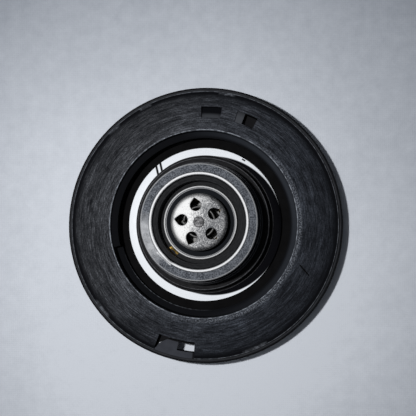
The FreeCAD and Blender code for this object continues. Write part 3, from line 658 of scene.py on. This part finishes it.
def turnedAngles(x, y, turn):
    # the angles of some points and of their turned copies, in order and each one once
    angles = np.sort((np.arctan2(y, x)[None, :] + turn[:, None]).ravel() % (2 * np.pi))
    return angles[np.concatenate([[True], np.diff(angles) > 1e-6])]


def carried(profile, angles):
    # a profile (radius, height) at the given angles: x = r cos a, y = r sin a, z = h
    return np.stack([profile[:, :1] * np.cos(angles), profile[:, :1] * np.sin(angles),
                     np.repeat(profile[:, 1:], len(angles), 1)], -1)


def makeHat():
    # one fifth of the sheet round one hole, turned five times, then the rim and the stem's hole
    half = np.pi / hat["holes"]
    lean = np.arccos(hat["hole"] / (hat["tip"] - hat["pitch"]))
    farCorner = np.arctan2(hat["joint"] * np.sin(half), hat["joint"] * np.cos(half) - hat["pitch"])
    nearCorner = np.arctan2(hat["stemHole"] * np.sin(half), hat["stemHole"] * np.cos(half) - hat["pitch"])
    one = np.concatenate([np.linspace(0, lean, 7)[:-1], np.linspace(lean, farCorner, 7)[:-1],
                          np.linspace(farCorner, nearCorner, 15)[:-1], np.linspace(nearCorner, np.pi, 4)])
    way = np.concatenate([one, -one[-2:0:-1]])
    ux, uy = np.cos(way), np.sin(way)
    # the hole's edge, seen from the middle of its round part: a circle with two tangents to the tip
    edge = hat["hole"] / np.cos(np.clip(lean - np.abs(way), 0, None))
    # the edge of the hole's own fifth of the sheet: the joint circle, two rays and the stem hole
    c = hat["pitch"]
    out = -c * ux + np.sqrt((c * ux) ** 2 - c ** 2 + hat["joint"] ** 2)
    across = np.abs(uy) * np.cos(half) - ux * np.sin(half)
    farOff = 99.0
    ray = np.where(across > 1e-6, c * np.sin(half) / np.maximum(across, 1e-6), farOff)
    inside = (c * ux) ** 2 - c ** 2 + hat["stemHole"] ** 2
    stem = np.where((inside > 0) & (ux < 0), -c * ux - np.sqrt(np.maximum(inside, 0)), farOff)
    reach = np.minimum(np.minimum(out, ray), stem)
    # rows from the joint to the hole on the lower face (the first six), and back on the upper face
    share = [1, 0.55, 0.25, 0.1, 0.03, 0.0, 0.0, 0.02, 0.05, 0.12, 0.22, 0.4, 0.6, 0.8, 1.0]
    share = np.array(share)[:, None]
    lowerRows = 6
    upper = (np.arange(len(share)) >= lowerRows)[:, None]
    away = edge + (reach - edge) * share
    x, y = c + away * ux, away * uy
    r = np.hypot(x, y)
    fromHole = away - edge
    # the hole's edge sinks by the sunk value, and a burr stands round it a little further out
    burr, burrAt, burrWide = hat["burr"]
    sunk, sunkWide = hat["sunk"]
    rolled = burr * np.exp(-((fromHole - burrAt) / burrWide) ** 2)
    rolled = rolled - sunk * np.exp(-(fromHole / sunkWide) ** 2)
    z = np.where(upper, hatHeight(r, 0.0) + rolled * (share < 1), hatHeight(r, hat["sheet"]))
    turn = np.radians(hat["holeTurn"]) + np.arange(hat["holes"]) * 2 * half
    cos, sin = np.cos(turn)[:, None, None], np.sin(turn)[:, None, None]
    heights = np.broadcast_to(z, (hat["holes"], *z.shape))
    sectors = np.stack([x * cos - y * sin, x * sin + y * cos, heights], -1)
    faces = gridFaces(len(share), len(way))
    stackFaces = (faces[None] + (np.arange(hat["holes"]) * z.size)[:, None, None]).reshape(-1, 4)
    # the rest of the sheet, carried round through the same points on the joint circle
    outer, inner = np.isclose(reach, out), np.isclose(reach, stem)
    angles = turnedAngles(x[-1, outer], y[-1, outer], turn)
    profile = hatEdge()
    ring = carried(profile, angles)
    stemAngles = turnedAngles(x[-1, inner], y[-1, inner], turn)
    boreTop = hatHeight(np.array(hat["stemHole"]), 0.0)
    bore = np.array([[hat["stemHole"], boreTop], [hat["stemHole"], boreTop - hat["sheet"]]])
    tube = carried(bore, stemAngles)
    points = np.concatenate([sectors.reshape(-1, 3), ring.reshape(-1, 3), tube.reshape(-1, 3)]) * mm
    ringFaces = gridFaces(len(profile), len(angles)) + sectors[..., 0].size
    tubeFaces = gridFaces(len(bore), len(stemAngles)) + sectors[..., 0].size + ring[..., 0].size
    allFaces = np.concatenate([stackFaces[:, ::-1], ringFaces, tubeFaces])
    piece = closeUp(meshPiece("piercedHat", points, allFaces))
    return fitted(piece, "pressure_valve", "galvanised_steel", hatSteel, "vacuum_cage")


def hatEdge():
    # from the joint on the lower face, down inside, round the brim, and up to the joint on the upper face
    wall, t, foot, brim = hat["wall"], hat["sheet"], hat["foot"], hat["brim"]
    start = wall - hat["shoulder"]
    low = np.arccos((hat["joint"] - start) / (hat["shoulder"] - t))
    high = np.arccos((hat["joint"] - start) / hat["shoulder"])
    centre = hat["top"] - hat["shoulder"] - hat["dome"]
    a = np.linspace(low, 0, 5)
    inside = np.stack([start + (hat["shoulder"] - t) * np.cos(a),
                       centre + (hat["shoulder"] - t) * np.sin(a)], -1)
    b = np.linspace(0, high, 9)
    outside = np.stack([start + hat["shoulder"] * np.cos(b), centre + hat["shoulder"] * np.sin(b)], -1)
    bends = softened([
        (wall - t, foot, 0.15), (brim, foot, 0.3), (brim, foot + hat["lip"], 0.22),
        (brim - t, foot + hat["lip"], 0.13), (brim - t, foot + t, 0.06), (wall, foot + t, 0.25)])
    return np.concatenate([inside, bends, outside])


# ---- the vacuum valve's riveted stem, the two seals round the insert and the springs

stemShape = {"stem": 1.1, "head": 1.55, "under": 20.65, "edge": 0.12, "top": 21.15, "foot": 2.4,
             "footLow": 11.7, "disc": 12.2, "hammered": 0.06}


def makeStem():
    # the disc's foot, the stem, and a low dome for a head: h = edge + rise * sin(a) to the power 1.4
    s = stemShape
    a = np.linspace(0, np.pi / 2, 9)
    edge = s["under"] + s["edge"]
    dome = np.stack([s["head"] * np.cos(a), edge + (s["top"] - edge) * np.sin(a) ** 1.4], -1)
    dome[-1, 0] = 0
    rest = np.array([[0, s["footLow"]], [s["foot"] - 0.15, s["footLow"]], [s["foot"], s["footLow"] + 0.12],
                     [s["foot"], s["disc"]], [s["stem"], s["disc"]], [s["stem"], s["under"]],
                     [s["head"] - 0.1, s["under"]]])

    def hammered(r, h, angle):
        # hollows round the head, deepest half way out
        onHead = (h > s["under"]) * np.sin(np.clip(r / s["head"], 0, 1) * np.pi)
        return 0.0, -onHead * s["hammered"] * (1 + np.sin(3 * angle) * np.cos(5 * angle + 1))

    piece = turned("rivetedStem", np.concatenate([rest, dome]), 72, hammered)
    return fitted(piece, "vacuum_valve", "spring_steel", rivetSteel, "stem_rivet")


foot = {"inner": 17.52, "side": 20.0, "flare": 21.1, "low": 5.2, "top": 10.0, "foot": 6.2}


def makeFootSeal():
    # a flared foot, a slope up to the side, and a rounded top
    f = foot
    profile = softened([
        (f["inner"], f["low"], 0.1), (f["flare"], f["low"], 0.2), (f["flare"], f["foot"], 0.3),
        (f["side"] + 0.15, f["foot"] + 0.4, 0.3), (f["side"], f["top"], 0.45), (f["inner"], f["top"], 0.2)])
    return fitted(turned("footSeal", profile), "insert", "seal_rubber", footRubber, "side_seal")


ringSeal = {"middle": 17.17, "level": 14.3, "section": 0.9}


def makeRingSeal():
    # a circle round the section's middle: r = middle + section cos a, h = level + section sin a
    a = np.linspace(0, 2 * np.pi, 20, endpoint=False)
    profile = np.stack([ringSeal["middle"] + ringSeal["section"] * np.cos(a),
                        ringSeal["level"] + ringSeal["section"] * np.sin(a)], -1)
    return fitted(turned("upperRingSeal", profile), "insert", "seal_rubber", sealRubber, "o_ring")


def cappedFaces(rows, columns):
    # the skin of a rod of closed rows, with a flat face at each end
    skin = [tuple(f) for f in gridFaces(rows, columns)[:, ::-1]]
    return skin + [tuple(range(columns)), tuple(range((rows - 1) * columns, rows * columns))[::-1]]


def wound(name, wire, radius, low, high, turns, widening, sides):
    # a round wire on a helix: its middle climbs evenly from low + wire to high - wire in the given turns,
    # and its round section lies in the plane through the axis
    perTurn = 40
    t = np.linspace(0, 1, int(turns * perTurn) + 1)[:, None]
    s = np.linspace(0, 2 * np.pi, sides, endpoint=False)[None, :]
    climb = t * (high - low - 2 * wire)
    r = radius + climb * np.tan(np.radians(widening)) + wire * np.cos(s)
    z = low + wire + climb + wire * np.sin(s)
    a = t * turns * 2 * np.pi
    points = np.stack([r * np.cos(a), r * np.sin(a), z], -1) * mm
    return meshPiece(name, points, cappedFaces(len(t), sides))


coils = {"bigWire": 0.9, "bigRadius": 11.2, "bigLow": 4.4, "bigHigh": 14.4, "bigTurns": 3.0, "bigSides": 12,
         "smallWire": 0.36, "smallRadius": 4.1, "smallLow": 13.05, "smallHigh": 19.85, "smallTurns": 3.5,
         "smallCone": 3.0, "smallSides": 10}


def makeSprings():
    # each spring is a wound wire baked in place, takes the spring steel finish, and stands for its node
    c = coils
    big = wound("valveSpring", c["bigWire"], c["bigRadius"], c["bigLow"], c["bigHigh"], c["bigTurns"],
                0.0, c["bigSides"])
    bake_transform(big)
    small = wound("hatSpring", c["smallWire"], c["smallRadius"], c["smallLow"], c["smallHigh"],
                  c["smallTurns"], c["smallCone"], c["smallSides"])
    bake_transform(small)
    for piece, node in ((big, "pressure_spring"), (small, "vacuum_spring")):
        springSteel.on(piece)
        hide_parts(node)


makeFace()
makeSeal()
makeHat()
makeStem()
makeFootSeal()
makeRingSeal()
makeSprings()


# ---- a flake of brass caught between the brim and the seal's collar

flake = {"from": (-8.75, -7.05), "to": (-6.45, -9.05), "wide": 0.75, "thick": 0.1, "level": 16.12,
         "curl": 0.35, "ripple": 0.03}


def makeFlake():
    # a strip between two points, its width wavy and its height a sine curl with small ripples
    u = np.linspace(0, 1, 13)[:, None]
    v = np.linspace(-0.5, 0.5, 5)[None, :]
    first, last = np.array(flake["from"]), np.array(flake["to"])
    way = (last - first) / np.linalg.norm(last - first)
    side = np.array([-way[1], way[0]])
    wide = flake["wide"] * (0.75 + 0.25 * np.sin(u * 9.0))
    x = first[0] + (last[0] - first[0]) * u + side[0] * wide * v
    y = first[1] + (last[1] - first[1]) * u + side[1] * wide * v
    z = flake["level"] + flake["curl"] * np.sin(u * np.pi) * (0.6 + v) + flake["ripple"] * np.sin(u * 17.0)
    top = np.stack([x, y, z + flake["thick"]], -1)
    under = np.stack([x, y, z], -1)[:, ::-1]
    loop = np.concatenate([top, under], 1) * mm
    strip = meshPiece("brassFlake", loop, cappedFaces(*loop.shape[:2]), smooth=False)
    return fitted(strip, "pressure_valve", "plate_brass", brassFlake)


makeFlake()
print("insert dressed")


# ---- floor, light and camera

clothLook = {
    "half": 2.0, "shade": (0.40, 0.435, 0.495), "pale": (0.76, 0.805, 0.88),
    "thread": 0.62, "threads": 0.05, "fuzz": 0.25, "mottle": 0.5, "folds": 0.5,  # period, parts of the tone
    # painted pool of light: the cloth palest round this spot and darker further away, by distance and share
    "litSpot": (-6.0, -20.0, 0.0), "lightFalloff": (45.0, 120.0, 0.35, -0.75)}


def makeCloth():
    # a flat square with a painted pool of light, paler towards one spot, and with broad folds, mottling,
    # threads and fuzz in its tone
    look = clothLook
    corners = np.array([[-1, -1, 0], [1, -1, 0], [1, 1, 0], [-1, 1, 0]], float)
    cloth = meshPiece("paleCloth", corners * look["half"], [(0, 1, 2, 3)], smooth=False)
    finish = Finish("paleClothFinish", look["pale"], 0.9, 0.0, 0.1)
    folds = finish.noise(finish.coords, 14.0, 3.0, 0.55)
    mottle = finish.noise(finish.coords, 260.0, 4.0, 0.65)
    threads = finish.total(finish.weave("X", look["thread"]), finish.weave("Y", look["thread"]))
    fuzz = finish.noise(finish.coords, 1500.0, 3.0, 0.7)
    away = finish.vector("LENGTH", finish.vector("SUBTRACT", finish.where(), look["litSpot"]))
    share = finish.total(finish.scaled(threads, look["threads"]), finish.scaled(fuzz, look["fuzz"]),
                         finish.scaled(mottle, look["mottle"]), finish.scaled(folds, look["folds"]),
                         finish.span(away, *look["lightFalloff"]))
    finish.colour(finish.mix(share, look["shade"], look["pale"]))
    finish.bump(finish.total(finish.scaled(threads, 0.5), finish.total(fuzz, mottle)), 0.25, 0.00012)
    finish.on(cloth)


lamps = {
    "keyLamp": {"place": (-0.037, 0.0105, 0.220), "size": 0.012, "power": 0.36, "colour": (1.0, 0.99, 0.98)},
    "leftPanel": {"place": (-0.130, 0.010, 0.600), "size": 0.320, "power": 0.25, "colour": (0.94, 0.97, 1.0)}}


def addLamps():
    # round area lamps that face the origin
    for name, lamp in lamps.items():
        data = bpy.data.lights.new(name, "AREA")
        data.shape = "DISK"
        data.size = lamp["size"]
        data.energy = lamp["power"]
        data.color = lamp["colour"]
        away = np.array(lamp["place"]) / np.linalg.norm(lamp["place"])
        side = np.cross((0.0, 1.0, 0.0), away)
        side /= np.linalg.norm(side)
        turn = Matrix((side, np.cross(away, side), away)).transposed().to_4x4()
        turn.translation = lamp["place"]
        made = bpy.data.objects.new(name, data)
        made.matrix_world = turn
        bpy.context.scene.collection.objects.link(made)


room = {"tint": (0.84, 0.89, 1.0), "above": 0.018, "round": 0.28, "rise": (0.15, 0.55)}


def makeRoom():
    # pale bluish light from the walls of the room, little from above
    world = bpy.data.worlds.new("paleRoom")
    world.use_nodes = True
    nodes, links = world.node_tree.nodes, world.node_tree.links
    parts = nodes.new("ShaderNodeSeparateXYZ")
    ramp = nodes.new("ShaderNodeMapRange")
    links.new(nodes.new("ShaderNodeTexCoord").outputs["Generated"], parts.inputs[0])
    links.new(parts.outputs["Z"], ramp.inputs["Value"])
    for name, value in zip(("From Min", "From Max", "To Min", "To Max"),
                           (*room["rise"], room["round"], room["above"])):
        ramp.inputs[name].default_value = value
    nodes["Background"].inputs["Color"].default_value = (*room["tint"], 1)
    links.new(ramp.outputs["Result"], nodes["Background"].inputs["Strength"])
    bpy.context.scene.world = world


view = {"place": (0.0226, -0.00771, 0.20661), "tilt": (3.583, 3.808), "lens": 57.115, "shift": -0.064,
        "sensor": 36.0, "clip": (0.005, 10.0)}


def addCamera():
    data = bpy.data.cameras.new("photoCamera")
    data.sensor_width = view["sensor"]
    data.lens = view["lens"]
    data.shift_x = view["shift"]
    data.clip_start, data.clip_end = view["clip"]
    camera = bpy.data.objects.new("photoCamera", data)
    bpy.context.scene.collection.objects.link(camera)
    turnX, turnY = [Matrix.Rotation(math.radians(tilt), 4, axis) for tilt, axis in zip(view["tilt"], "XY")]
    camera.matrix_world = Matrix.Translation(view["place"]) @ turnX @ turnY
    bpy.context.scene.camera = camera


makeCloth()
addLamps()
makeRoom()
addCamera()
bpy.context.scene.view_settings.view_transform = "Standard"
print("stage ready")
